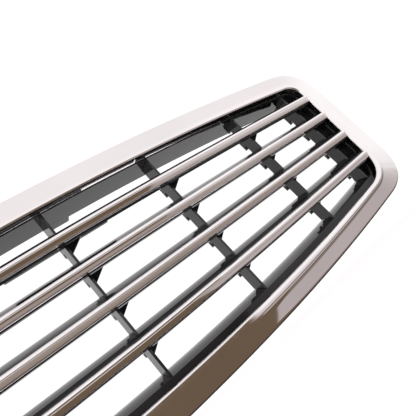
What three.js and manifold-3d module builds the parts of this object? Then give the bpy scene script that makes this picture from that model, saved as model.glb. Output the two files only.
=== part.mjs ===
// Front grille of a car: a chrome surround that carries a black insert frame, vertical support
// ribs, four louvre blades with bright trim strips, and the brackets and fasteners behind them.
//
// Millimetres. X runs across the car, Z is up, and the front faces -Y. The plane Y = 0 touches the
// front of the surround. The origin is the middle of the opening on that plane.

import * as THREE from 'three';
import { mergeVertices } from 'three/addons/utils/BufferGeometryUtils.js';
import Module from 'manifold-3d';

const wasm = await Module();
wasm.setup();

// ---------------------------------------------------------------- driving dimensions

// Opening in the surround: taller in the middle than at the ends.
const openingHalfWidth = 320;
const openingHeight = 181;
const topArch = 18.5;
const bottomArch = 22;
const sideTaper = 0.018;
const topCornerRadius = 15;
const bottomCornerRadius = 30;

// Surround.
const topBand = 27;
const sideBand = 33;
const bottomBand = 23.5;
const outerTopCornerRadius = 44;
const outerBottomCornerRadius = 40;
const surroundWall = 2.5;
const returnDepth = 10;
const lipWidth = 2;
const lipDepth = 2;
const frontBandWidth = 6;
const stepWidth = 0.6;
const ledgeWidth = 1.4;
const ledgeStep = 0.7;
const lowerStep = 1.4;
const slopeWidth = 2.9;
const slopeStep = 2.1;
const plainDrop = 1.4;
const bandWall = 4;
const flangeDrop = 11.5;
const shoulderWidth = 5;
const shoulderDrop = 5.5;
const roundWidth = 1.2;
const roundDrop = 9;
const skirtDepth = 6;
const bossSink = 1;

// Louvres and their trim strips.
const topMargin = 33.4;
const bottomMargin = 38.4;
const louvreSpread = 0.127;
const archShare = 0.68;
const archPower = 1.6;
const louvreNoseTop = 5;
const louvreNoseBottom = 4.9;
const louvreNoseDepth = 4;
const louvreNoseRound = 1.2;
const louvreDepth = 29;
const louvreRise = 12.5;
const louvreRearThickness = 2.4;
const stripHeight = 8.4;
const stripProud = 2;
const stripThickness = 5;

// Support ribs.
const ribThickness = 2.4;
const ribFront = 11.5;
const ribRear = 26;
const ribHookRear = 31;
const ribHookDrop = 6;
const ribHookWidth = 2.5;
const ribHookNotch = 3;
const ribHookRise = 4;
const ribHeadDrop = 16;
const ribSpacing = 114;
const endRibInset = 16;
const gussetReach = 21;
const gussetHeight = 17;
const gussetTipHeight = 3.3;
const gussetFront = 21.5;
const gussetThickness = 2;

// Insert frame.
const insertWall = 2.5;
const insertStep = 0.8;
const insertRear = 40;
const insertFlangeWidth = 13;
const insertFlangeThickness = 2.5;
const sillShelf = 6.5;
const sillRise = 8.5;
const sillRear = 36;
const sillThickness = 2;
const endPanelFront = 18;
const endPanelThickness = 2.5;
const guideTabX = 4;
const guideTabWidth = 24;
const guideTabDepth = 8;
const guideTabOverlap = 4;

// Fasteners, brackets, buffers and seal.
const upperOuterScrewInset = 115;
const upperInnerScrewX = 70;
const lowerOuterScrewInset = 80;
const lowerInnerScrewX = 110;
const screwOffset = 8;
const screwRadius = 1.8;
const screwPointLength = 2;
const screwHeadRadius = 4;
const screwHeadHeight = 2.4;
const screwEngagement = 5;
const bossRadius = 3.8;
const bracketInset = 155;
const bracketWidth = 30;
const bracketThickness = 2;
const bracketRear = 58;
const bracketFootDrop = 5;
const bracketArmRise = 10;
const bracketFlangeHeight = 24;
const nutDrop = 9;
const nutBarrelRadius = 4;
const nutCollarRadius = 6.5;
const nutCollarLength = 4.5;
const nutThreadRadius = 2.6;
const hookWidth = 22;
const hookDepth = 18;
const hookReach = 8;
const hookThickness = 4;
const hookDrop = 12;
const bufferX = 85;
const bufferRadius = 5;
const bufferLength = 9;
const bufferChamfer = 2;
const bufferStemRadius = 3;
const sealEndSpace = 20;
const sealWidth = 9;
const sealHeight = 7;
const sealSetback = 1;
const braceHalfLength = 52;
const braceHeight = 11.5;
const braceThickness = 3;
const braceFootLength = 4;
const braceSetback = 2;

// Clearances between pieces that touch on the real object.
const gap = 0.3;
const looseGap = 0.4;

// How far a cutting solid runs past what it cuts, and how deep joined solids sink into each other.
const cutPast = 10;
const sink = 0.5;
const archSegments = 20;
const curveSteps = 6;

// ---------------------------------------------------------------- materials

function finish(name, color, roughness, metalness) {
  return () => new THREE.MeshStandardMaterial({ name, color, roughness, metalness });
}

const chrome = finish('chrome', 0xe6e1e2, 0.08, 1);
const blackPlastic = finish('black_plastic', 0x1a1a1c, 0.3, 0);
const steel = finish('steel', 0x9a9c9f, 0.45, 1);
const rubber = finish('rubber', 0x202020, 0.85, 0);

// ---------------------------------------------------------------- solids

const grille = new THREE.Group();

function toSolid(geometry) {
  const bare = geometry.clone();
  bare.deleteAttribute('normal');
  bare.deleteAttribute('uv');
  const merged = mergeVertices(bare, 1e-4);
  const mesh = new wasm.Mesh({
    numProp: 3,
    vertProperties: new Float32Array(merged.attributes.position.array),
    triVerts: new Uint32Array(merged.index.array),
  });
  return new wasm.Manifold(mesh);
}

function toGeometry(solid) {
  const mesh = solid.getMesh();
  const geometry = new THREE.BufferGeometry();
  geometry.setAttribute('position', new THREE.BufferAttribute(mesh.vertProperties, 3));
  geometry.setIndex(new THREE.BufferAttribute(mesh.triVerts, 1));
  return geometry;
}

function addPiece(name, solid, material) {
  const piece = new THREE.Mesh(toGeometry(solid), material());
  piece.name = name;
  grille.add(piece);
}

// A solid through a row of equal rings of points; a closed row joins its last ring to its first.
// The section runs anticlockwise as seen from the end that the row runs towards.
function loft(rings, section, closed) {
  const count = section.length;
  const positions = rings.flat().flatMap((point) => [point.x, point.y, point.z]);
  const indices = [];
  const spans = closed ? rings.length : rings.length - 1;
  for (let span = 0; span < spans; span += 1) {
    const here = span * count;
    const next = ((span + 1) % rings.length) * count;
    for (let side = 0; side < count; side += 1) {
      const after = (side + 1) % count;
      indices.push(here + side, here + after, next + after);
      indices.push(here + side, next + after, next + side);
    }
  }
  if (!closed) {
    const last = (rings.length - 1) * count;
    for (const [a, b, c] of THREE.ShapeUtils.triangulateShape(section, [])) {
      indices.push(a, c, b);
      indices.push(last + a, last + b, last + c);
    }
  }
  const geometry = new THREE.BufferGeometry();
  geometry.setAttribute('position', new THREE.Float32BufferAttribute(positions, 3));
  geometry.setIndex(indices);
  return toSolid(geometry);
}

// A plate parallel to the front, from yFront backwards. The outline is in X and Z.
function plate(outline, yFront, thickness, hole) {
  const shape = new THREE.Shape(outline);
  if (hole) shape.holes.push(new THREE.Path(hole));
  const geometry = new THREE.ExtrudeGeometry(shape, { depth: thickness, bevelEnabled: false });
  geometry.rotateX(Math.PI / 2);
  geometry.translate(0, yFront + thickness, 0);
  return toSolid(geometry);
}

// A prism along X centred on x. The outline is in Y and Z.
function prism(outline, x, width) {
  const shape = new THREE.Shape(outline);
  const geometry = new THREE.ExtrudeGeometry(shape, { depth: width, bevelEnabled: false });
  const yzx = new THREE.Matrix4().makeBasis(
    new THREE.Vector3(0, 1, 0),
    new THREE.Vector3(0, 0, 1),
    new THREE.Vector3(1, 0, 0),
  );
  geometry.applyMatrix4(yzx);
  geometry.translate(x - width / 2, 0, 0);
  return toSolid(geometry);
}

function box(x0, x1, y0, y1, z0, z1) {
  const geometry = new THREE.BoxGeometry(x1 - x0, y1 - y0, z1 - z0);
  geometry.translate((x0 + x1) / 2, (y0 + y1) / 2, (z0 + z1) / 2);
  return toSolid(geometry);
}

// A round bar along Y.
function roundBar(x, z, y0, y1, radius, sides = 16) {
  const geometry = new THREE.CylinderGeometry(radius, radius, y1 - y0, sides);
  geometry.translate(x, (y0 + y1) / 2, z);
  return toSolid(geometry);
}

function xz(x, z) {
  return new THREE.Vector2(x, z);
}

function yz(y, z) {
  return new THREE.Vector2(y, z);
}

function joined(solids) {
  return solids.reduce((whole, solid) => whole.add(solid));
}

// ---------------------------------------------------------------- outlines

const openingTop = openingHeight / 2;
const openingBottom = -openingHeight / 2;

function topEdge(x, offset = 0) {
  return openingTop + offset - topArch * (x / openingHalfWidth) ** 2;
}

function bottomEdge(x, offset = 0) {
  return openingBottom - offset + bottomArch * (x / openingHalfWidth) ** 2;
}

function sideEdge(z, offset = 0) {
  return openingHalfWidth + offset + sideTaper * z;
}

// Points round a barrel-shaped outline at the given distances outside the opening. Every outline
// has the same number of points, and points with one index face each other across a band.
function barrelOutline({ top, side, bottom, topRadius, bottomRadius }) {
  const topCornerX = sideEdge(openingTop - topArch, side);
  const bottomCornerX = sideEdge(openingBottom + bottomArch, side);
  const topEndX = topCornerX - topRadius;
  const bottomEndX = bottomCornerX - bottomRadius;
  const topCorner = xz(topCornerX, topEdge(topCornerX, top));
  const bottomCorner = xz(bottomCornerX, bottomEdge(bottomCornerX, bottom));
  const sideTop = topCorner.y - topRadius;
  const sideBottom = bottomCorner.y + bottomRadius;

  const path = new THREE.CurvePath();
  const bottomArc = new THREE.QuadraticBezierCurve(
    xz(-bottomEndX, bottomEdge(bottomEndX, bottom)),
    xz(0, 2 * bottomEdge(0, bottom) - bottomEdge(bottomEndX, bottom)),
    xz(bottomEndX, bottomEdge(bottomEndX, bottom)),
  );
  const topArc = new THREE.QuadraticBezierCurve(
    xz(topEndX, topEdge(topEndX, top)),
    xz(0, 2 * topEdge(0, top) - topEdge(topEndX, top)),
    xz(-topEndX, topEdge(topEndX, top)),
  );
  const lowerRight = new THREE.QuadraticBezierCurve(
    bottomArc.v2,
    bottomCorner,
    xz(sideEdge(sideBottom, side), sideBottom),
  );
  const upperRight = new THREE.QuadraticBezierCurve(
    xz(sideEdge(sideTop, side), sideTop),
    topCorner,
    topArc.v0,
  );
  const mirror = (curve) => new THREE.QuadraticBezierCurve(
    xz(-curve.v2.x, curve.v2.y),
    xz(-curve.v1.x, curve.v1.y),
    xz(-curve.v0.x, curve.v0.y),
  );
  const upperLeft = mirror(upperRight);
  const lowerLeft = mirror(lowerRight);
  path.add(bottomArc);
  path.add(lowerRight);
  path.add(new THREE.LineCurve(lowerRight.v2, upperRight.v0));
  path.add(upperRight);
  path.add(topArc);
  path.add(upperLeft);
  path.add(new THREE.LineCurve(upperLeft.v2, lowerLeft.v0));
  path.add(lowerLeft);

  const steps = [archSegments, 7, 2, 7, archSegments, 7, 2, 7];
  return path.curves.flatMap((curve, index) => curve.getPoints(steps[index]).slice(0, -1));
}

function openingOutline(offset) {
  return barrelOutline({
    top: offset,
    side: offset,
    bottom: offset,
    topRadius: topCornerRadius + offset,
    bottomRadius: bottomCornerRadius + offset,
  });
}

const innerOutline = openingOutline(0);
const outerOutline = barrelOutline({
  top: topBand,
  side: sideBand,
  bottom: bottomBand,
  topRadius: outerTopCornerRadius,
  bottomRadius: outerBottomCornerRadius,
});

// ---------------------------------------------------------------- screw places

const upperOuterScrewX = openingHalfWidth - upperOuterScrewInset;
const lowerOuterScrewX = openingHalfWidth - lowerOuterScrewInset;
const upperScrewXs = [-upperOuterScrewX, -upperInnerScrewX, upperInnerScrewX, upperOuterScrewX];
const lowerScrewXs = [-lowerOuterScrewX, -lowerInnerScrewX, lowerInnerScrewX, lowerOuterScrewX];
const bracketX = openingHalfWidth - bracketInset;
const insertFlangeFront = returnDepth + gap;
const insertFlangeBack = insertFlangeFront + insertFlangeThickness;

function screwPlaces() {
  const upper = upperScrewXs.map((x) => xz(x, topEdge(x, screwOffset)));
  const lower = lowerScrewXs.map((x) => xz(x, bottomEdge(x, screwOffset)));
  return [...upper, ...lower];
}

function bracketScrewPlaces() {
  return [-bracketX, bracketX].map((x) => xz(x, topEdge(x, screwOffset)));
}

// ---------------------------------------------------------------- chrome surround

// How strongly the steps of the front band are cut: fully along the bottom, not at all on top.
function stepShare(z) {
  return THREE.MathUtils.smoothstep((openingTop - z) / openingHeight, 0, 1);
}

// Section of the surround: distance outwards from the opening, or inwards from the outer edge
// where fromOuter is set, and the depth behind the front plane. The share sets the steps' depth.
function surroundSection(share) {
  const ledgeStart = frontBandWidth + stepWidth;
  const ledgeEnd = ledgeStart + ledgeWidth;
  const slopeStart = ledgeEnd + stepWidth;
  const slopeEnd = slopeStart + slopeWidth;
  const slopeDrop = plainDrop + share * slopeStep;
  const edgeDepth = flangeDrop + skirtDepth;
  return [
    { out: 0, y: returnDepth },
    { out: 0, y: lipDepth },
    { out: lipWidth * 0.08, y: lipDepth * 0.6 },
    { out: lipWidth * 0.3, y: lipDepth * 0.28 },
    { out: lipWidth * 0.62, y: lipDepth * 0.08 },
    { out: lipWidth, y: 0 },
    { out: frontBandWidth, y: 0 },
    { out: ledgeStart, y: plainDrop * 0.08 + share * ledgeStep },
    { out: ledgeEnd, y: plainDrop * 0.2 + share * ledgeStep },
    { out: slopeStart, y: plainDrop * 0.3 + share * lowerStep },
    { out: slopeEnd, y: slopeDrop },
    { fromOuter: shoulderWidth, y: shoulderDrop },
    { fromOuter: roundWidth, y: roundDrop },
    { fromOuter: 0, y: flangeDrop + roundWidth },
    { fromOuter: 0, y: edgeDepth },
    { fromOuter: surroundWall, y: edgeDepth },
    { fromOuter: surroundWall * 1.2, y: flangeDrop + roundWidth },
    { fromOuter: shoulderWidth * 1.3, y: shoulderDrop + surroundWall },
    { out: slopeEnd, y: slopeDrop + surroundWall },
    { out: surroundWall, y: bandWall },
    { out: surroundWall, y: returnDepth },
  ];
}

// A closed ring round the opening with the section that sectionAt gives for each height.
function ringAround(sectionAt) {
  const rings = innerOutline.map((inner, index) => {
    const outer = outerOutline[index];
    const outward = outer.clone().sub(inner).normalize();
    return sectionAt(inner.y).map(({ out, fromOuter, y }) => {
      const point = fromOuter === undefined
        ? inner.clone().addScaledVector(outward, out)
        : outer.clone().addScaledVector(outward, -fromOuter);
      return new THREE.Vector3(point.x, y, point.y);
    });
  });
  return loft(rings, sectionAt(0), true);
}

// The space behind the front of the surround, starting inside its wall, where bosses stand.
function bossSpace() {
  return ringAround((z) => {
    const share = stepShare(z);
    return [
      { out: bossSink, y: returnDepth },
      { out: bossSink, y: lipDepth + bossSink },
      { out: frontBandWidth, y: share * lowerStep + bossSink },
      { out: frontBandWidth + slopeWidth, y: plainDrop + share * slopeStep + bossSink },
      { fromOuter: shoulderWidth, y: shoulderDrop + bossSink },
      { fromOuter: shoulderWidth, y: returnDepth },
    ];
  });
}

function makeSurround() {
  const shell = ringAround((z) => surroundSection(stepShare(z)));
  const places = [...screwPlaces(), ...bracketScrewPlaces()];
  const space = bossSpace();
  const bosses = places.map(
    (at) => roundBar(at.x, at.y, 0, returnDepth, bossRadius).intersect(space),
  );
  const pilots = places.map((at) => roundBar(
    at.x,
    at.y,
    returnDepth - screwEngagement - gap,
    returnDepth + 1,
    screwRadius + gap,
    12,
  ));
  return pilots.reduce((solid, pilot) => solid.subtract(pilot), joined([shell, ...bosses]));
}

addPiece('chrome_surround', makeSurround(), chrome);

// ---------------------------------------------------------------- louvre lines

const louvreNames = ['top', 'upper', 'lower', 'bottom'];
const louvreFront = stripThickness - stripProud + gap;
const louvreRear = louvreFront + louvreDepth;

// Height of louvre k on the middle line. The spaces widen a little towards the bottom.
function louvreHeight(k) {
  const share = k / (louvreNames.length - 1);
  const down = share - louvreSpread * share * (1 - share);
  return openingTop - topMargin - down * (openingHeight - topMargin - bottomMargin);
}

// How far a louvre bends away from its nearer long edge at the end of the opening.
function louvreArch(height) {
  const edgeArch = height > 0 ? topArch : bottomArch;
  return (archShare * edgeArch * height) / openingTop;
}

function louvreLine(k, x) {
  const bend = (Math.abs(x) / openingHalfWidth) ** archPower;
  return louvreHeight(k) - louvreArch(louvreHeight(k)) * bend;
}

// Top of a louvre at depth y, measured from its line: steep at the nose, flat at the rear.
function louvreTop(y) {
  const ahead = Math.max(louvreRear - y, 0) / louvreDepth;
  return louvreNoseTop + louvreRise * (1 - ahead ** 2);
}

// Underside of a louvre at depth y, measured from its line.
function louvreUnderside(y) {
  const noseBack = louvreFront + louvreNoseDepth;
  const rearBottom = louvreTop(louvreRear) - louvreRearThickness;
  const along = (y - noseBack) / (louvreRear - noseBack);
  return -louvreNoseBottom + along * (rearBottom + louvreNoseBottom);
}

// A bar with one section in Y and Z that follows a line of heights across the car.
function archedBar(outline, line, x0, x1, segments) {
  const section = THREE.ShapeUtils.isClockWise(outline) ? outline.slice().reverse() : outline;
  const rings = [];
  for (let step = 0; step <= segments; step += 1) {
    const x = x0 + ((x1 - x0) * step) / segments;
    rings.push(section.map((point) => new THREE.Vector3(x, point.x, line(x) + point.y)));
  }
  return loft(rings, section, false);
}

// The space inside the insert walls, which louvres, ribs and panels must stay within.
function clearSpace(clearance) {
  return plate(openingOutline(-insertStep - clearance), -cutPast, cutPast + insertRear + cutPast);
}

// ---------------------------------------------------------------- support ribs

const sillFront = insertFlangeFront;

// Top of the sill above the bottom edge at depth y, rounded in the same way as a louvre.
function sillHeight(y) {
  const ahead = (sillRear - y) / (sillRear - sillFront);
  return sillShelf + sillRise * (1 - ahead ** 2);
}

// Depths from y0 to y1 in even steps.
function depths(y0, y1) {
  return Array.from({ length: curveSteps + 1 }, (unused, step) => y0 + ((y1 - y0) * step) / curveSteps);
}

const endRibX = openingHalfWidth - endRibInset;
const ribXs = [-endRibX, -2 * ribSpacing, -ribSpacing, 0, ribSpacing, 2 * ribSpacing, endRibX];
const ribNames = [
  'left_end',
  'left_outer',
  'left_inner',
  'centre',
  'right_inner',
  'right_outer',
  'right_end',
];

// Outline of a rib. Its rear edge steps back to a small hook behind each louvre.
function ribSection(x) {
  const ground = Math.max(bottomEdge(x - ribThickness), bottomEdge(x + ribThickness)) + gap;
  const head = openingTop + cutPast;
  const headBottom = openingTop - ribHeadDrop;
  const points = [
    ...depths(ribFront, ribRear).map((y) => yz(y, ground + sillHeight(y))).reverse(),
    yz(ribFront, head),
    yz(ribHookRear, head),
    yz(ribHookRear, headBottom),
    yz(ribRear, headBottom),
  ];
  louvreNames.forEach((name, k) => {
    const shoulder = louvreLine(k, x) + louvreNoseTop;
    const hookBottom = louvreLine(k, x) - ribHookDrop;
    points.push(yz(ribRear, shoulder));
    points.push(yz(ribHookRear, shoulder + ribHookRise));
    points.push(yz(ribHookRear, hookBottom));
    points.push(yz(ribHookRear - ribHookWidth, hookBottom));
    points.push(yz(ribHookRear - ribHookWidth, hookBottom + ribHookNotch));
    points.push(yz(ribRear, hookBottom + ribHookNotch + sink));
  });
  return points;
}

// A web behind a louvre's nose that ties it to the rib, on one side of the rib. Where the space
// down to the next louvre is lower than the web, the web ends just above that louvre.
function gusset(x, k, direction) {
  const start = x + direction * (ribThickness / 2 - sink);
  const end = x + direction * gussetReach;
  const back = gussetFront + gussetThickness;
  const under = louvreUnderside(gussetFront) - looseGap;
  const top = Math.min(louvreLine(k, start), louvreLine(k, end)) + under;
  const nextTops = [start, end].map((at) => (
    k + 1 < louvreNames.length
      ? louvreLine(k + 1, at) + louvreTop(back)
      : bottomEdge(at) + sillHeight(back)
  ));
  const space = top - Math.max(...nextTops) - looseGap;
  const outline = [
    xz(start, top),
    xz(start, top - Math.min(gussetHeight, space)),
    xz(end, top - gussetTipHeight),
    xz(end, top),
  ];
  return plate(direction > 0 ? outline : outline.reverse(), gussetFront, gussetThickness);
}

function makeRib(x) {
  const bar = prism(ribSection(x), x, ribThickness);
  const direction = x < 0 ? -1 : 1;
  const reachesWall = Math.abs(x) === endRibX;
  const webs = reachesWall ? [] : louvreNames.map((name, k) => gusset(x, k, direction));
  return joined([bar, ...webs]).intersect(clearSpace(gap));
}

ribXs.forEach((x, index) => {
  addPiece(`support_rib_${ribNames[index]}`, makeRib(x), blackPlastic);
});

// ---------------------------------------------------------------- louvres

function louvreSection() {
  return [
    yz(louvreFront, louvreNoseTop - louvreNoseRound),
    ...depths(louvreFront + louvreNoseRound, louvreRear).map((y) => yz(y, louvreTop(y))),
    yz(louvreRear, louvreTop(louvreRear) - louvreRearThickness),
    yz(louvreFront + louvreNoseDepth, -louvreNoseBottom),
    yz(louvreFront + louvreNoseRound, -louvreNoseBottom),
    yz(louvreFront, -louvreNoseBottom + louvreNoseRound),
  ];
}

// A box that cuts through every louvre from yFront to behind its rear edge.
function louvreCut(xa, xb, yFront) {
  const x0 = Math.min(xa, xb);
  const x1 = Math.max(xa, xb);
  return box(x0, x1, yFront, louvreRear + cutPast, -openingHeight, openingHeight);
}

function makeLouvre(k) {
  const reach = openingHalfWidth + cutPast;
  const blade = archedBar(louvreSection(), (x) => louvreLine(k, x), -reach, reach, archSegments);
  const slotHalf = ribThickness / 2 + gap;
  const ribSlots = ribXs.map((x) => louvreCut(x - slotHalf, x + slotHalf, ribFront - gap));
  const panelNotches = [-1, 1].map((direction) => {
    const inner = direction * (endRibX - slotHalf);
    return louvreCut(inner, direction * (reach + cutPast), endPanelFront - gap);
  });
  const fitted = blade.intersect(clearSpace(looseGap));
  return [...ribSlots, ...panelNotches].reduce((solid, cut) => solid.subtract(cut), fitted);
}

louvreNames.forEach((name, k) => addPiece(`louvre_${name}`, makeLouvre(k), blackPlastic));

// ---------------------------------------------------------------- trim strips

// Two lobes with a groove between them: the upper one round, the lower one facing down a little.
function stripSection() {
  const half = stripHeight / 2;
  const back = stripThickness - stripProud;
  const crown = -stripProud;
  return [
    yz(back, half),
    yz(crown + 1.8, half),
    yz(crown + 0.7, half * 0.88),
    yz(crown, half * 0.64),
    yz(crown, half * 0.48),
    yz(crown + 0.5, half * 0.3),
    yz(crown + 1.4, half * 0.24),
    yz(crown + 1.4, half * 0.16),
    yz(crown + 0.6, half * 0.08),
    yz(crown + 0.6, -half * 0.1),
    yz(crown + 1.1, -half * 0.55),
    yz(crown + 1.9, -half * 0.88),
    yz(crown + 2.6, -half),
    yz(back, -half),
  ];
}

function makeStrip(k) {
  const reach = openingHalfWidth + cutPast;
  const bar = archedBar(stripSection(), (x) => louvreLine(k, x), -reach, reach, archSegments);
  return bar.intersect(plate(openingOutline(-looseGap), -cutPast, cutPast + returnDepth));
}

louvreNames.forEach((name, k) => addPiece(`trim_strip_${name}`, makeStrip(k), chrome));

// ---------------------------------------------------------------- insert frame

// The space inside the middle of the insert's walls, which joined pieces sink into.
function wallSpace() {
  return plate(openingOutline(sink), 0, insertRear + cutPast);
}

function makeSill() {
  const shelfRear = sillFront + insertFlangeThickness;
  const tops = depths(sillFront, sillRear);
  const undersides = depths(shelfRear, sillRear).reverse();
  const section = [
    yz(sillFront, -sink),
    ...tops.map((y) => yz(y, sillHeight(y))),
    ...undersides.map((y) => yz(y, sillHeight(y) - sillThickness)),
    yz(shelfRear, -sink),
  ];
  const reach = openingHalfWidth + cutPast;
  const sill = archedBar(section, (x) => bottomEdge(x), -reach, reach, archSegments);
  return sill.intersect(wallSpace());
}

function endPanel(direction) {
  const inner = direction * (endRibX + ribThickness / 2 + gap);
  const outer = direction * (openingHalfWidth + cutPast);
  const panel = box(
    Math.min(inner, outer),
    Math.max(inner, outer),
    endPanelFront,
    endPanelFront + endPanelThickness,
    openingBottom,
    openingTop,
  );
  return panel.intersect(wallSpace());
}

function lowerHook(x) {
  const top = bottomEdge(x, insertWall - insertStep - sink);
  const tipRear = insertRear + hookReach;
  const tipFront = tipRear - hookThickness;
  const section = [
    yz(insertRear - hookDepth, top),
    yz(insertRear - hookDepth, top - hookThickness),
    yz(tipFront, top - hookThickness),
    yz(tipFront, top - hookDrop),
    yz(tipRear, top - hookDrop),
    yz(tipRear, top),
  ];
  return prism(section.reverse(), x, hookWidth);
}

function guideTab() {
  const x1 = guideTabX + guideTabWidth;
  const lowest = topEdge(x1, -insertStep);
  const highest = lowest + insertWall;
  return box(guideTabX, x1, insertRear - guideTabOverlap, insertRear + guideTabDepth, lowest, highest);
}

function makeInsertFrame() {
  const wallOuter = openingOutline(insertWall - insertStep);
  const wallInner = openingOutline(-insertStep);
  const flangeOuter = openingOutline(insertFlangeWidth);
  const walls = plate(wallOuter, insertFlangeFront, insertRear - insertFlangeFront, wallInner);
  const flange = plate(flangeOuter, insertFlangeFront, insertFlangeThickness, wallInner);
  const hooks = [-bracketX, bracketX].map((x) => lowerHook(x));
  const frame = joined([walls, flange, makeSill(), endPanel(-1), endPanel(1), guideTab(), ...hooks]);
  const front = insertFlangeFront - 1;
  const back = insertFlangeBack + 1;
  const screwHoles = [...screwPlaces(), ...bracketScrewPlaces()].map(
    (at) => roundBar(at.x, at.y, front, back, screwRadius + gap, 12),
  );
  const stemHoles = bufferPlaces().map(
    (at) => roundBar(at.x, at.y, front, back, bufferStemRadius + gap, 16),
  );
  return [...screwHoles, ...stemHoles].reduce((solid, hole) => solid.subtract(hole), frame);
}

function bufferPlaces() {
  return [-bufferX, bufferX].map((x) => xz(x, bottomEdge(x, screwOffset)));
}

addPiece('insert_frame', makeInsertFrame(), blackPlastic);

// ---------------------------------------------------------------- centre brace

// A bar behind the top louvre, with a short foot at each end that reaches forwards to it.
function makeBrace() {
  const rearMost = Math.max(louvreRear, ribHookRear);
  const front = rearMost + braceSetback;
  const top = louvreHeight(0) + louvreTop(louvreRear);
  const bottom = top - braceHeight;
  const bar = box(-braceHalfLength, braceHalfLength, front, front + braceThickness, bottom, top);
  const feet = [-1, 1].map((direction) => {
    const middle = direction * (braceHalfLength - braceFootLength / 2);
    return box(
      middle - braceFootLength / 2,
      middle + braceFootLength / 2,
      rearMost + gap,
      front + sink,
      top - braceFootLength,
      top,
    );
  });
  return joined([bar, ...feet]);
}

addPiece('centre_brace', makeBrace(), blackPlastic);

// ---------------------------------------------------------------- screws

// Self-tapping screw seen from behind: a domed head on headSeat, its shank running forwards.
function screw(at, headSeat) {
  const tip = returnDepth - screwEngagement;
  const profile = [
    yz(0, tip),
    yz(screwRadius * 0.5, tip),
    yz(screwRadius, tip + screwPointLength),
    yz(screwRadius, headSeat + gap),
    yz(screwHeadRadius, headSeat + gap),
    yz(screwHeadRadius, headSeat + gap + screwHeadHeight * 0.5),
    yz(screwHeadRadius * 0.6, headSeat + gap + screwHeadHeight),
    yz(0, headSeat + gap + screwHeadHeight),
  ];
  const geometry = new THREE.LatheGeometry(profile, 12);
  geometry.translate(at.x, 0, at.y);
  return toSolid(geometry);
}

screwPlaces().forEach((at, index) => {
  addPiece(`surround_screw_${index + 1}`, screw(at, insertFlangeBack), steel);
});

// ---------------------------------------------------------------- upper brackets

const bracketFoot = insertFlangeBack + gap;
const sideNames = ['left', 'right'];

// Steel strip bent twice: a foot under the screw, an arm running back, and an upright flange.
function makeBracket(at) {
  const footBottom = at.y - bracketFootDrop;
  const armTop = at.y + bracketArmRise;
  const armBottom = armTop - bracketThickness;
  const flangeTop = armTop + bracketFlangeHeight;
  const flangeFront = bracketRear - bracketThickness;
  const footBack = bracketFoot + bracketThickness;
  const section = [
    yz(bracketFoot, footBottom),
    yz(footBack, footBottom),
    yz(footBack, armBottom),
    yz(bracketRear, armBottom),
    yz(bracketRear, flangeTop),
    yz(flangeFront, flangeTop),
    yz(flangeFront, armTop),
    yz(bracketFoot, armTop),
  ];
  const strip = prism(section, at.x, bracketWidth);
  const screwHole = roundBar(at.x, at.y, bracketFoot - 1, footBack + 1, screwRadius + gap, 12);
  const nutHole = roundBar(
    at.x,
    nutHeight(at),
    flangeFront - 1,
    bracketRear + 1,
    nutBarrelRadius + gap,
    16,
  );
  return strip.subtract(screwHole).subtract(nutHole);
}

function nutHeight(at) {
  return at.y + bracketArmRise + bracketFlangeHeight - nutDrop;
}

// Clinch nut: its barrel fills the hole in the flange, and its collar stands in front of it.
function makeClinchNut(at) {
  const collarBack = bracketRear - bracketThickness - gap;
  const collarFront = collarBack - nutCollarLength;
  const barrelBack = bracketRear - gap;
  const profile = [
    yz(nutThreadRadius, collarFront),
    yz(nutCollarRadius, collarFront),
    yz(nutCollarRadius, collarBack),
    yz(nutBarrelRadius, collarBack),
    yz(nutBarrelRadius, barrelBack),
    yz(nutThreadRadius, barrelBack),
    yz(nutThreadRadius, collarFront),
  ];
  const geometry = new THREE.LatheGeometry(profile, 16);
  geometry.translate(at.x, 0, nutHeight(at));
  return toSolid(geometry);
}

bracketScrewPlaces().forEach((at, index) => {
  addPiece(`upper_bracket_${sideNames[index]}`, makeBracket(at), steel);
  addPiece(`bracket_screw_${sideNames[index]}`, screw(at, bracketFoot + bracketThickness), steel);
  addPiece(`clinch_nut_${sideNames[index]}`, makeClinchNut(at), steel);
});

// ---------------------------------------------------------------- rubber buffers and seal

function makeBuffer(at) {
  const seat = insertFlangeBack + gap;
  const profile = [
    yz(0, insertFlangeFront),
    yz(bufferStemRadius, insertFlangeFront),
    yz(bufferStemRadius, seat),
    yz(bufferRadius, seat),
    yz(bufferRadius, seat + bufferLength - bufferChamfer),
    yz(bufferRadius - bufferChamfer, seat + bufferLength),
    yz(0, seat + bufferLength),
  ];
  const geometry = new THREE.LatheGeometry(profile, 20);
  geometry.translate(at.x, 0, at.y);
  return toSolid(geometry);
}

bufferPlaces().forEach((at, index) => {
  addPiece(`rubber_buffer_${sideNames[index]}`, makeBuffer(at), rubber);
});

// A round-topped rubber strip on the top wall, between the brackets.
function makeSeal() {
  const seat = insertWall - insertStep + gap;
  const back = insertRear - sealSetback;
  const front = back - sealWidth;
  const middle = (front + back) / 2;
  const shape = new THREE.Shape();
  shape.moveTo(back, seat);
  shape.lineTo(back, seat + sealHeight - sealWidth / 2);
  shape.absarc(middle, seat + sealHeight - sealWidth / 2, sealWidth / 2, 0, Math.PI, false);
  shape.lineTo(front, seat);
  const halfLength = bracketX - bracketWidth / 2 - sealEndSpace;
  return archedBar(shape.getPoints(8), (x) => topEdge(x), -halfLength, halfLength, 14);
}

addPiece('upper_seal', makeSeal(), rubber);

export default grille;
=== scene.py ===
import math

import bmesh
import bpy
from mathutils import Matrix, Vector


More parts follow.
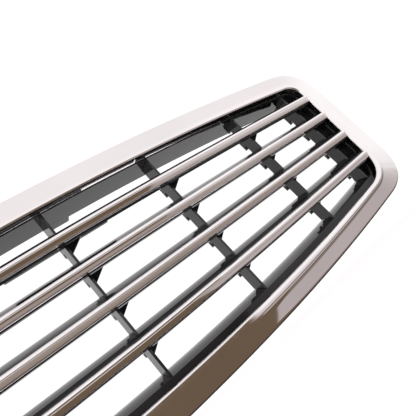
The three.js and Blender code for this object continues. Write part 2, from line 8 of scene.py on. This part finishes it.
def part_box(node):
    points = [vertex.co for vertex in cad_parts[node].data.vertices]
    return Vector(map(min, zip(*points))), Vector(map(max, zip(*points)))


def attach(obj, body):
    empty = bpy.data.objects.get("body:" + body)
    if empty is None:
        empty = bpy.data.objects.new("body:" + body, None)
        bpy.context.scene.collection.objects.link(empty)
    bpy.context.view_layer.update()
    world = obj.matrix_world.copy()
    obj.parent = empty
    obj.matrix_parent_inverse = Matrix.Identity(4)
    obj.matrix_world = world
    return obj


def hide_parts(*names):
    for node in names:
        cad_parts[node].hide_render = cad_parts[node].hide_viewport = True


# Front grille in a white studio. The grille's sizes are millimetres in the row frame. The studio's
# sizes, and all names that end in _m or _M, are metres. X runs across the car, Z is up and the
# front faces -Y.

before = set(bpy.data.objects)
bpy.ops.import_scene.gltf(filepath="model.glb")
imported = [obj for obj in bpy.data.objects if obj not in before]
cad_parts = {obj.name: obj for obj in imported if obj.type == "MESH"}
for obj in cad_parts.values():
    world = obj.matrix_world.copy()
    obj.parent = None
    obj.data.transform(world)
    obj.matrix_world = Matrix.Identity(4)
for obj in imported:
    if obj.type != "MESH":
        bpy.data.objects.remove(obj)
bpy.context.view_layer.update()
MM = 0.001

# ---------------------------------------------------------------- sizes shared with the CAD model

HALF_WIDTH = 320.0
OPENING_HEIGHT = 181.0
TOP_ARCH = 18.5
BOTTOM_ARCH = 22.0
SIDE_TAPER = 0.018
TOP_RADIUS = 15.0
BOTTOM_RADIUS = 30.0
TOP_BAND = 27.0
SIDE_BAND = 33.0
BOTTOM_BAND = 23.5
OUTER_TOP_RADIUS = 44.0
OUTER_BOTTOM_RADIUS = 40.0
WALL = 2.5
RETURN_DEPTH = 10.0
FRONT_BAND = 6.0
TOP_MARGIN = 33.4
BOTTOM_MARGIN = 38.4
LOUVRE_SPREAD = 0.127
ARCH_SHARE = 0.68
ARCH_POWER = 1.6
STRIP_HEIGHT = 8.4
STRIP_PROUD = 2.0
STRIP_BACK = 3.0
STRIP_GAP = 0.4
BOSS_RADIUS = 3.8
LOUVRES = ("top", "upper", "lower", "bottom")
OPENING_TOP = OPENING_HEIGHT / 2

# ---------------------------------------------------------------- sizes of the finer meshes

# How finely each curve is cut.
ARC_STEPS = 160
CORNER_STEPS = 28
SIDE_STEPS = 24
LIP_STEPS = 8
SHOULDER_STEPS = 10
STRIP_STEPS = 200

# The surround's section. Depths run from its front face towards the rear.
LIP_RADIUS = 2.0
STEP_ROUNDING = 0.14
# Beyond the plain band: place, depth at the top of the grille, and what the steps add lower down.
FRONT_STEPS = (
    (0.0, 0.0, 0.0),
    (0.6, 0.11, 0.7),
    (2.0, 0.28, 0.7),
    (2.6, 0.42, 1.4),
    (5.5, 1.4, 2.1),
)
SHOULDER_WIDTH = 3.5
SHOULDER_START = 5.9
SHOULDER_CORNER = 6.9
SKIRT_START = 13.0
SKIRT_END = 17.5
# The inside of the shoulder, as distance in from the outer edge and depth.
SHOULDER_INSIDE = ((3.0, 12.7), (6.5, 8.0))
BAND_INSIDE = 4.0
# The depth where the screw bosses start. It keeps them behind the front skin everywhere: at the
# lower screws partly inside the wall, and at the upper ones about 1 mm behind it.
BOSS_FRONT = 5.0

# The strip's face from its top edge down, as depth behind the crown and height as a share of half.
STRIP_FACE = (
    (1.6, 1.0),
    (0.6, 0.9),
    (0.12, 0.76),
    (0.0, 0.56),
    (0.0, 0.2),
    (0.5, 0.13),
    (0.35, 0.04),
    (1.75, -0.86),
    (2.6, -1.0),
)
STRIP_ROUNDING = 0.3
# Each strip narrows over its last 0.8 mm, as a moulded end does: distance from the end and size.
STRIP_ENDS = ((0.0, 0.84), (0.25, 0.93), (0.8, 1.0))
# The depth that the ends narrow towards, and the room that the evenly spaced rings leave there.
STRIP_MIDDLE = 0.6
STRIP_END_ROOM = 2.0


# ---------------------------------------------------------------- outlines of the opening

def top_edge(x, offset=0.0):
    return OPENING_TOP + offset - TOP_ARCH * (x / HALF_WIDTH) ** 2


def bottom_edge(x, offset=0.0):
    return -OPENING_TOP - offset + BOTTOM_ARCH * (x / HALF_WIDTH) ** 2


def side_edge(z, offset=0.0):
    return HALF_WIDTH + offset + SIDE_TAPER * z


def bezier(a, b, c, steps):
    points = []
    for step in range(steps):
        t = step / steps
        points.append(a * (1 - t) ** 2 + b * (2 * t * (1 - t)) + c * t ** 2)
    return points


def barrel(top, side, bottom, top_radius, bottom_radius):
    """Points round the outline, as many for every offset, anticlockwise seen from the front."""
    top_x = side_edge(OPENING_TOP - TOP_ARCH, side)
    bottom_x = side_edge(-OPENING_TOP + BOTTOM_ARCH, side)
    top_end = top_x - top_radius
    bottom_end = bottom_x - bottom_radius
    top_corner = Vector((top_x, top_edge(top_x, top)))
    bottom_corner = Vector((bottom_x, bottom_edge(bottom_x, bottom)))
    side_top = top_corner.y - top_radius
    side_bottom = bottom_corner.y + bottom_radius
    low = Vector((bottom_end, bottom_edge(bottom_end, bottom)))
    low_side = Vector((side_edge(side_bottom, side), side_bottom))
    high_side = Vector((side_edge(side_top, side), side_top))
    high = Vector((top_end, top_edge(top_end, top)))
    low_mid = Vector((0, 2 * bottom_edge(0, bottom) - low.y))
    high_mid = Vector((0, 2 * top_edge(0, top) - high.y))

    def flip(point):
        return Vector((-point.x, point.y))

    straight = [(low_side, high_side), (flip(high_side), flip(low_side))]
    points = bezier(flip(low), low_mid, low, ARC_STEPS)
    points += bezier(low, bottom_corner, low_side, CORNER_STEPS)
    points += [straight[0][0].lerp(straight[0][1], s / SIDE_STEPS) for s in range(SIDE_STEPS)]
    points += bezier(high_side, top_corner, high, CORNER_STEPS)
    points += bezier(high, high_mid, flip(high), ARC_STEPS)
    points += bezier(flip(high), flip(top_corner), flip(high_side), CORNER_STEPS)
    points += [straight[1][0].lerp(straight[1][1], s / SIDE_STEPS) for s in range(SIDE_STEPS)]
    points += bezier(flip(low_side), flip(bottom_corner), flip(low), CORNER_STEPS)
    return points


inner_line = barrel(0, 0, 0, TOP_RADIUS, BOTTOM_RADIUS)
outer_line = barrel(TOP_BAND, SIDE_BAND, BOTTOM_BAND, OUTER_TOP_RADIUS, OUTER_BOTTOM_RADIUS)


def opening_end(z):
    """Right edge of the opening at height z."""
    best = 0.0
    for here, there in zip(inner_line, inner_line[1:] + inner_line[:1]):
        if here.x > 0 and (here.y - z) * (there.y - z) <= 0 and here.y != there.y:
            share = (z - here.y) / (there.y - here.y)
            best = max(best, here.x + share * (there.x - here.x))
    return best


# ---------------------------------------------------------------- mesh helpers

def make_object(name, vertices, faces, smooth_angle=32.0):
    mesh = bpy.data.meshes.new(name)
    mesh.from_pydata([Vector(v) * MM for v in vertices], [], faces)
    edit = bmesh.new()
    edit.from_mesh(mesh)
    bmesh.ops.recalc_face_normals(edit, faces=edit.faces)
    edit.to_mesh(mesh)
    edit.free()
    mesh.shade_smooth()
    mesh.set_sharp_from_angle(angle=math.radians(smooth_angle))
    piece = bpy.data.objects.new(name, mesh)
    bpy.context.scene.collection.objects.link(piece)
    return piece


# The most of a side that the rounding of one of its corners may take.
CORNER_SHARE = 0.45


def rounded(points, radius, steps=4):
    """The closed outline with every corner replaced by a short arc."""
    out = []
    count = len(points)
    for index, point in enumerate(points):
        before = points[index - 1] - point
        after = points[(index + 1) % count] - point
        cut = min(radius, before.length * CORNER_SHARE, after.length * CORNER_SHARE)
        start = point + before.normalized() * cut
        end = point + after.normalized() * cut
        out += bezier(start, point, end, steps) + [end]
    return out


# ---------------------------------------------------------------- chrome surround

def step_share(z):
    """How far the front's steps have grown: from none at the top to full at the bottom."""
    t = min(max((OPENING_TOP - z) / OPENING_HEIGHT, 0.0), 1.0)
    return t * t * (3 - 2 * t)


def soften(points, radius):
    """The open run of points with its inner corners cut back a little on each side."""
    out = [points[0]]
    for before, point, after in zip(points, points[1:], points[2:]):
        here = Vector(point)
        for other in (Vector(before), Vector(after)):
            out.append(tuple(here + (other - here).normalized() * radius))
    return out + [points[-1]]


def surround_ring(inner, outer):
    """The surround's section between two matching points of its outlines."""
    share = step_share(inner.y)
    outward = (outer - inner).normalized()
    width = (outer - inner).length
    lip = [(0.0, RETURN_DEPTH)]
    for step in range(LIP_STEPS + 1):
        turn = math.radians(90 * step / LIP_STEPS)
        lip.append((
            LIP_RADIUS - LIP_RADIUS * math.cos(turn),
            LIP_RADIUS - LIP_RADIUS * math.sin(turn),
        ))
    front = [(FRONT_BAND + out, depth + more * share) for out, depth, more in FRONT_STEPS]
    slope_end, slope_depth = front[-1]
    # The flange bends over into the skirt in one smooth quarter turn.
    shoulder_start = Vector((width - SHOULDER_WIDTH, SHOULDER_START))
    shoulder_corner = Vector((width, SHOULDER_CORNER))
    shoulder_end = Vector((width, SKIRT_START))
    edge = bezier(shoulder_start, shoulder_corner, shoulder_end, SHOULDER_STEPS) + [shoulder_end]
    back = [(width, SKIRT_END), (width - WALL, SKIRT_END)]
    back += [(width - inset, depth) for inset, depth in SHOULDER_INSIDE]
    back += [(slope_end, slope_depth + WALL), (WALL, BAND_INSIDE), (WALL, RETURN_DEPTH)]
    section = lip + soften(front, STEP_ROUNDING) + edge + back
    return [
        (inner.x + outward.x * out, depth, inner.y + outward.y * out) for out, depth in section
    ]


def bar_y(x, z, y0, y1, radius, sides=28):
    """Vertices and faces of a round bar along Y."""
    vertices = []
    for y in (y0, y1):
        for side in range(sides):
            turn = 2 * math.pi * side / sides
            vertices.append((x + radius * math.cos(turn), y, z + radius * math.sin(turn)))
    faces = [(s, (s + 1) % sides, sides + (s + 1) % sides, sides + s) for s in range(sides)]
    faces.append(tuple(range(sides)))
    faces.append(tuple(range(sides, 2 * sides)))
    return vertices, faces


def make_surround():
    rings = [surround_ring(a, b) for a, b in zip(inner_line, outer_line)]
    count = len(rings[0])
    vertices = [point for ring in rings for point in ring]
    faces = []
    for ring in range(len(rings)):
        here = ring * count
        there = ((ring + 1) % len(rings)) * count
        for s in range(count):
            after = (s + 1) % count
            faces.append((here + s, here + after, there + after, there + s))
    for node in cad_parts:
        if "screw" in node:
            low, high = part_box(node)
            x = (low[0] + high[0]) / 2 / MM
            z = (low[2] + high[2]) / 2 / MM
            more, sides = bar_y(x, z, BOSS_FRONT, RETURN_DEPTH, BOSS_RADIUS)
            faces += [tuple(index + len(vertices) for index in face) for face in sides]
            vertices += more
    surround = make_object("surround", vertices, faces)
    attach(surround, "root")
    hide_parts("chrome_surround")
    return surround


# ---------------------------------------------------------------- trim strips

def louvre_height(k):
    share = k / (len(LOUVRES) - 1)
    down = share - LOUVRE_SPREAD * share * (1 - share)
    return OPENING_TOP - TOP_MARGIN - down * (OPENING_HEIGHT - TOP_MARGIN - BOTTOM_MARGIN)


def louvre_line(k, x):
    height = louvre_height(k)
    arch = ARCH_SHARE * (TOP_ARCH if height > 0 else BOTTOM_ARCH) * height / OPENING_TOP
    return height - arch * (abs(x) / HALF_WIDTH) ** ARCH_POWER


def strip_section():
    half = STRIP_HEIGHT / 2
    crown = -STRIP_PROUD
    face = [(crown + depth, half * share) for depth, share in STRIP_FACE]
    points = [(STRIP_BACK, half)] + face + [(STRIP_BACK, -half)]
    return rounded([Vector(point) for point in points], STRIP_ROUNDING)


def make_strip(k, name):
    section = strip_section()
    spots = [(-1, inset, size) for inset, size in STRIP_ENDS]
    spots += [(None, -1 + 2 * step / STRIP_STEPS, 1.0) for step in range(1, STRIP_STEPS)]
    spots += [(1, inset, size) for inset, size in reversed(STRIP_ENDS)]
    vertices = []
    for side, place, size in spots:
        for y, z in section:
            reach = opening_end(louvre_line(k, HALF_WIDTH) + z * size) - STRIP_GAP
            x = side * (reach - place) if side is not None else place * (reach - STRIP_END_ROOM)
            depth = STRIP_MIDDLE + (y - STRIP_MIDDLE) * size
            vertices.append((x, depth, louvre_line(k, x) + z * size))
    count = len(section)
    faces = [tuple(range(count)), tuple(range((len(spots) - 1) * count, len(spots) * count))]
    for ring in range(len(spots) - 1):
        here = ring * count
        for s in range(count):
            after = (s + 1) % count
            faces.append((here + s, here + after, here + count + after, here + count + s))
    strip = make_object("bright_strip_" + name, vertices, faces)
    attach(strip, "root")
    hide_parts("trim_strip_" + name)
    return strip


# ---------------------------------------------------------------- materials

def new_material(name):
    material = bpy.data.materials.new(name)
    material.use_nodes = True
    nodes = material.node_tree.nodes
    links = material.node_tree.links
    return material, nodes, links, nodes["Principled BSDF"]


def noise(nodes, links, scale, detail=4.0, stretch=(1, 1, 1)):
    """Noise over the object's own coordinates, in patches of about 1/scale metres."""
    place = nodes.new("ShaderNodeTexCoord")
    mapping = nodes.new("ShaderNodeMapping")
    mapping.inputs["Scale"].default_value = stretch
    texture = nodes.new("ShaderNodeTexNoise")
    texture.inputs["Scale"].default_value = scale
    texture.inputs["Detail"].default_value = detail
    links.new(place.outputs["Object"], mapping.inputs["Vector"])
    links.new(mapping.outputs["Vector"], texture.inputs["Vector"])
    return texture.outputs["Fac"]


def spread(nodes, links, source, low, high, start=0.3, end=0.7):
    """The source's middle range mapped to numbers from low to high."""
    ranged = nodes.new("ShaderNodeMapRange")
    ranged.inputs["From Min"].default_value = start
    ranged.inputs["From Max"].default_value = end
    ranged.inputs["To Min"].default_value = low
    ranged.inputs["To Max"].default_value = high
    links.new(source, ranged.inputs["Value"])
    return ranged.outputs["Result"]


def tint(nodes, links, source, dark, light):
    ramp = nodes.new("ShaderNodeValToRGB")
    ramp.color_ramp.elements[0].position = 0.3
    ramp.color_ramp.elements[1].position = 0.7
    ramp.color_ramp.elements[0].color = (*dark, 1)
    ramp.color_ramp.elements[1].color = (*light, 1)
    links.new(source, ramp.inputs["Fac"])
    return ramp.outputs["Color"]


def bumps(nodes, links, shader, layers):
    """Bump nodes in a chain: each layer is a height, a strength and a depth in metres."""
    before = None
    for height, strength, depth in layers:
        bump = nodes.new("ShaderNodeBump")
        bump.inputs["Strength"].default_value = strength
        bump.inputs["Distance"].default_value = depth
        links.new(height, bump.inputs["Height"])
        if before is not None:
            links.new(before.outputs["Normal"], bump.inputs["Normal"])
        before = bump
    links.new(before.outputs["Normal"], shader.inputs["Normal"])


def chrome_material():
    material, nodes, links, shader = new_material("bright_chrome")
    cloud = noise(nodes, links, 9.0)
    haze = noise(nodes, links, 60.0, 6.0)
    ripple = noise(nodes, links, 26.0, 1.0)
    grain = noise(nodes, links, 1500.0, 2.0)
    links.new(tint(nodes, links, cloud, (0.80, 0.765, 0.775), (0.87, 0.84, 0.845)),
              shader.inputs["Base Color"])
    links.new(spread(nodes, links, haze, 0.045, 0.10), shader.inputs["Roughness"])
    shader.inputs["Metallic"].default_value = 1.0
    bumps(nodes, links, shader, [(ripple, 0.05, 0.0005), (grain, 0.01, 0.00001)])
    return material


def plastic_material():
    material, nodes, links, shader = new_material("black_plastic")
    cloud = noise(nodes, links, 14.0)
    wear = noise(nodes, links, 130.0, 6.0)
    grain = noise(nodes, links, 900.0, 3.0)
    links.new(tint(nodes, links, cloud, (0.008, 0.008, 0.009), (0.015, 0.015, 0.016)),
              shader.inputs["Base Color"])
    links.new(spread(nodes, links, wear, 0.04, 0.10), shader.inputs["Roughness"])
    shader.inputs["IOR"].default_value = 1.42
    bumps(nodes, links, shader, [(wear, 0.02, 0.0001), (grain, 0.03, 0.00003)])
    return material


def steel_material():
    material, nodes, links, shader = new_material("zinc_steel")
    cloud = noise(nodes, links, 45.0)
    brushed = noise(nodes, links, 420.0, 4.0, (0.12, 1, 1))
    spots = nodes.new("ShaderNodeTexVoronoi")
    spots.inputs["Scale"].default_value = 240.0
    place = nodes.new("ShaderNodeTexCoord")
    links.new(place.outputs["Object"], spots.inputs["Vector"])
    links.new(tint(nodes, links, cloud, (0.40, 0.41, 0.43), (0.60, 0.61, 0.63)),
              shader.inputs["Base Color"])
    links.new(spread(nodes, links, spots.outputs["Color"], 0.28, 0.5, 0.0, 1.0),
              shader.inputs["Roughness"])
    shader.inputs["Metallic"].default_value = 1.0
    bumps(nodes, links, shader, [(brushed, 0.12, 0.0001)])
    return material


def rubber_material():
    material, nodes, links, shader = new_material("matt_rubber")
    dust = noise(nodes, links, 38.0, 6.0)
    pores = noise(nodes, links, 1100.0, 3.0)
    links.new(tint(nodes, links, dust, (0.014, 0.014, 0.014), (0.034, 0.033, 0.031)),
              shader.inputs["Base Color"])
    links.new(spread(nodes, links, dust, 0.7, 0.92), shader.inputs["Roughness"])
    bumps(nodes, links, shader, [(dust, 0.1, 0.0003), (pores, 0.3, 0.0001)])
    return material


# ---------------------------------------------------------------- carried-over nodes

def smooth_group(limit):
    """Geometry nodes that shade smooth except across edges sharper than the limit."""
    group = bpy.data.node_groups.new("smooth_by_edge", "GeometryNodeTree")
    group.interface.new_socket("Geometry", in_out="INPUT", socket_type="NodeSocketGeometry")
    group.interface.new_socket("Geometry", in_out="OUTPUT", socket_type="NodeSocketGeometry")
    start = group.nodes.new("NodeGroupInput")
    end = group.nodes.new("NodeGroupOutput")
    angle = group.nodes.new("GeometryNodeInputMeshEdgeAngle")
    compare = group.nodes.new("FunctionNodeCompare")
    compare.operation = "LESS_EQUAL"
    compare.inputs["B"].default_value = limit
    edges = group.nodes.new("GeometryNodeSetShadeSmooth")
    edges.domain = "EDGE"
    faces = group.nodes.new("GeometryNodeSetShadeSmooth")
    faces.domain = "FACE"
    faces.inputs["Shade Smooth"].default_value = True
    group.links.new(angle.outputs["Unsigned Angle"], compare.inputs["A"])
    group.links.new(start.outputs["Geometry"], edges.inputs["Geometry"])
    group.links.new(compare.outputs["Result"], edges.inputs["Shade Smooth"])
    group.links.new(edges.outputs["Geometry"], faces.inputs["Geometry"])
    group.links.new(faces.outputs["Geometry"], end.inputs["Geometry"])
    return group


SHARP_ANGLE = 28
BEVEL_ANGLE = 35
STEEL_EDGE_M = 0.0002
RUBBER_EDGE_M = 0.0005
PLASTIC_EDGE_M = 0.0003


def finish_node(node, material, group, bevel_m):
    obj = bpy.data.objects[node]
    if not obj.material_slots:
        obj.data.materials.append(None)
    for material_slot in obj.material_slots:
        material_slot.material = material
    bevel = obj.modifiers.new("edges", "BEVEL")
    bevel.limit_method = "ANGLE"
    bevel.angle_limit = math.radians(BEVEL_ANGLE)
    bevel.width = bevel_m
    bevel.segments = 2
    smooth = obj.modifiers.new("smooth", "NODES")
    smooth.node_group = group


# ---------------------------------------------------------------- studio

FLOOR_M = -0.30
FLOOR_HALF_M = 6.0
FADE_START_M = 0.7
FADE_END_M = 2.6
FADE_TONE = (0.97, 0.94, 0.94)


def emitter(name, color, strength):
    material = bpy.data.materials.new(name)
    material.use_nodes = True
    nodes = material.node_tree.nodes
    nodes.clear()
    glow = nodes.new("ShaderNodeEmission")
    glow.inputs["Color"].default_value = (*color, 1)
    glow.inputs["Strength"].default_value = strength
    out = nodes.new("ShaderNodeOutputMaterial")
    material.node_tree.links.new(glow.outputs["Emission"], out.inputs["Surface"])
    return material


def card(name, corners_m, material):
    """A flat card that only mirrors and gloss can see; its glow paints a reflection in them, not a
    lamp.
    """
    mesh = bpy.data.meshes.new(name)
    mesh.from_pydata(corners_m, [], [(0, 1, 2, 3)])
    mesh.materials.append(material)
    obj = bpy.data.objects.new(name, mesh)
    bpy.context.scene.collection.objects.link(obj)
    obj.visible_camera = False
    obj.visible_diffuse = False
    obj.visible_shadow = False


def toned_emitter(name, axis, start, end, stops):
    """Glow whose colour runs along one axis, through stops of a place in metres and a colour.

    Towards +X it fades into a pale tone.
    """
    material = emitter(name, (1, 1, 1), 1.0)
    nodes = material.node_tree.nodes
    links = material.node_tree.links
    place = nodes.new("ShaderNodeTexCoord")
    split = nodes.new("ShaderNodeSeparateXYZ")
    share = nodes.new("ShaderNodeMapRange")
    share.inputs["From Min"].default_value = start
    share.inputs["From Max"].default_value = end
    ramp = nodes.new("ShaderNodeValToRGB")
    while len(ramp.color_ramp.elements) < len(stops):
        ramp.color_ramp.elements.new(0.5)
    for element, (where, color) in zip(ramp.color_ramp.elements, stops):
        element.position = (where - start) / (end - start)
        element.color = (*color, 1)
    links.new(place.outputs["Object"], split.inputs["Vector"])
    links.new(split.outputs[axis], share.inputs["Value"])
    links.new(share.outputs["Result"], ramp.inputs["Fac"])
    fade = nodes.new("ShaderNodeMapRange")
    fade.inputs["From Min"].default_value = FADE_START_M
    fade.inputs["From Max"].default_value = FADE_END_M
    mix = nodes.new("ShaderNodeMix")
    mix.data_type = "RGBA"
    # The mix node has one A and one B socket for each kind of data; the colour ones come third.
    colors_a = [socket for socket in mix.inputs if socket.name == "A"][2]
    colors_b = [socket for socket in mix.inputs if socket.name == "B"][2]
    colors_b.default_value = (*FADE_TONE, 1)
    result = [socket for socket in mix.outputs if socket.name == "Result"][2]
    links.new(split.outputs["X"], fade.inputs["Value"])
    links.new(fade.outputs["Result"], mix.inputs["Factor"])
    links.new(ramp.outputs["Color"], colors_a)
    links.new(result, nodes["Emission"].inputs["Color"])
    return material


def floor_card(name, x0, x1, y0, y1, height, material):
    z = FLOOR_M + height
    card(name, [(x0, y0, z), (x1, y0, z), (x1, y1, z), (x0, y1, z)], material)


def wall_card(name, x0, x1, y, top, material):
    card(name, [(x0, y, FLOOR_M), (x1, y, FLOOR_M), (x1, y, top), (x0, y, top)], material)


# Colours of the painted reflections that the glowing cards put into the chrome and gloss: pale far
# in front, pink and umber near the grille, dark under it.
PINK = (0.53, 0.475, 0.47)
ROSE = (0.66, 0.57, 0.57)
PALE = (0.92, 0.89, 0.89)
UMBER = (0.26, 0.21, 0.175)
BROWN = (0.16, 0.112, 0.072)
DARK = (0.05, 0.042, 0.045)


def make_painted_reflections():
    """Painted reflections: glowing cards, no lamps, for a toned room in front of the grille, which
    only its mirror and gloss surfaces show.
    """
    ground = [
        (-3.4, (0.95, 0.93, 0.93)),
        (-1.9, (0.85, 0.81, 0.81)),
        (-1.2, (0.48, 0.43, 0.41)),
        (-0.70, (0.38, 0.325, 0.285)),
        (-0.47, (0.33, 0.275, 0.235)),
        (-0.42, PINK),
        (-0.15, PINK),
        (-0.12, UMBER),
        (0.0, UMBER),
        (0.03, DARK),
    ]
    tones = toned_emitter("ground_reflection_tones", "Y", -3.5, 0.5, ground)
    floor_card("toned_ground_reflection", x0=-3.0, x1=5.5, y0=-3.5, y1=0.5, height=0.004, material=tones)
    brown = emitter("brown_reflection_tone", BROWN, 1.0)
    floor_card("brown_ground_reflection", x0=-1.5, x1=0.27, y0=-0.45, y1=0.05, height=0.012, material=brown)
    wall_card("brown_wall_reflection", x0=-1.5, x1=0.545, y=-0.9, top=0.05, material=brown)
    shades = toned_emitter("wall_reflection_tones", "Z", -0.3, 0.3, [(-0.02, ROSE), (0.07, PALE)])
    wall_card("pink_wall_reflection", x0=-1.5, x1=3.5, y=-1.5, top=0.08, material=shades)


def make_floor():
    mesh = bpy.data.meshes.new("floor")
    corners = [(-1, -1), (1, -1), (1, 1), (-1, 1)]
    corners = [(x * FLOOR_HALF_M, y * FLOOR_HALF_M, FLOOR_M) for x, y in corners]
    mesh.from_pydata(corners, [], [(0, 1, 2, 3)])
    material, nodes, links, shader = new_material("pale_floor")
    cloud = noise(nodes, links, 1.5)
    pale = tint(nodes, links, cloud, (0.93, 0.93, 0.93), (0.96, 0.96, 0.96))
    links.new(pale, shader.inputs["Base Color"])
    shader.inputs["Roughness"].default_value = 0.9
    shader.inputs["Specular IOR Level"].default_value = 0.1
    mesh.materials.append(material)
    floor = bpy.data.objects.new("floor", mesh)
    bpy.context.scene.collection.objects.link(floor)


def make_world():
    """Plain white for the camera, and for all other rays a soft gradient from below to above."""
    world = bpy.data.worlds.new("studio")
    world.use_nodes = True
    nodes = world.node_tree.nodes
    links = world.node_tree.links
    light = nodes["Background"]
    place = nodes.new("ShaderNodeTexCoord")
    split = nodes.new("ShaderNodeSeparateXYZ")
    ramp = nodes.new("ShaderNodeValToRGB")
    ramp.color_ramp.elements[0].position = 0.3
    ramp.color_ramp.elements[0].color = (0.80, 0.77, 0.775, 1)
    ramp.color_ramp.elements[1].position = 0.56
    ramp.color_ramp.elements[1].color = (1.15, 1.13, 1.13, 1)
    for position, color in ((0.68, (1.12, 1.1, 1.1)), (0.78, (1.02, 0.995, 1.0))):
        ramp.color_ramp.elements.new(position).color = (*color, 1)
    share = nodes.new("ShaderNodeMapRange")
    share.inputs["From Min"].default_value = -1.0
    share.inputs["From Max"].default_value = 1.0
    links.new(place.outputs["Generated"], split.inputs["Vector"])
    links.new(split.outputs["Z"], share.inputs["Value"])
    links.new(share.outputs["Result"], ramp.inputs["Fac"])
    links.new(ramp.outputs["Color"], light.inputs["Color"])
    plain = nodes.new("ShaderNodeBackground")
    plain.inputs["Color"].default_value = (1, 1, 1, 1)
    plain.inputs["Strength"].default_value = 1.05
    path = nodes.new("ShaderNodeLightPath")
    mix = nodes.new("ShaderNodeMixShader")
    links.new(path.outputs["Is Camera Ray"], mix.inputs["Fac"])
    links.new(light.outputs["Background"], mix.inputs[1])
    links.new(plain.outputs["Background"], mix.inputs[2])
    links.new(mix.outputs["Shader"], nodes["World Output"].inputs["Surface"])
    bpy.context.scene.world = world


def area_light(name, place_m, target_m, size_m, power):
    data = bpy.data.lights.new(name, "AREA")
    data.shape = "RECTANGLE"
    data.size, data.size_y = size_m
    data.energy = power
    lamp = bpy.data.objects.new(name, data)
    bpy.context.scene.collection.objects.link(lamp)
    lamp.location = place_m
    lamp.visible_glossy = False
    aim = Vector(target_m) - Vector(place_m)
    lamp.rotation_euler = aim.to_track_quat("-Z", "Y").to_euler()


def make_camera():
    azimuth = math.radians(-32.0)
    elevation = math.radians(-14.87)
    roll = math.radians(43.46)
    place_m = Vector((-0.10517, -0.36062, -0.10551))
    data = bpy.data.cameras.new("camera")
    data.sensor_width = 36.0
    data.lens = 41.58
    data.clip_start = 0.01
    camera = bpy.data.objects.new("camera", data)
    bpy.context.scene.collection.objects.link(camera)
    back = Vector((
        math.sin(azimuth) * math.cos(elevation),
        -math.cos(azimuth) * math.cos(elevation),
        math.sin(elevation),
    ))
    right = Vector((0, 0, 1)).cross(back).normalized()
    up = back.cross(right)
    turned_up = up * math.cos(roll) + right * math.sin(roll)
    turned_right = turned_up.cross(back)
    rotation = Matrix((turned_right, turned_up, back)).transposed().to_4x4()
    camera.matrix_world = Matrix.Translation(place_m) @ rotation
    bpy.context.scene.camera = camera


# ---------------------------------------------------------------- everything together

chrome = chrome_material()
plastic = plastic_material()
steel = steel_material()
rubber = rubber_material()

make_surround().data.materials.append(chrome)
for index, louvre in enumerate(LOUVRES):
    make_strip(index, louvre).data.materials.append(chrome)

group = smooth_group(math.radians(SHARP_ANGLE))
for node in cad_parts:
    if node == "chrome_surround" or node.startswith("trim_strip"):
        continue
    if "screw" in node or "bracket" in node or "nut" in node:
        finish_node(node, steel, group, STEEL_EDGE_M)
    elif "rubber" in node or "seal" in node:
        finish_node(node, rubber, group, RUBBER_EDGE_M)
    else:
        finish_node(node, plastic, group, PLASTIC_EDGE_M)

bpy.context.scene.view_settings.view_transform = "Standard"
make_world()
make_floor()
area_light("floor_wash", (0.6, -1.2, 1.6), (0.3, 0.0, FLOOR_M), (3.0, 3.0), 40.0)
make_painted_reflections()
make_camera()
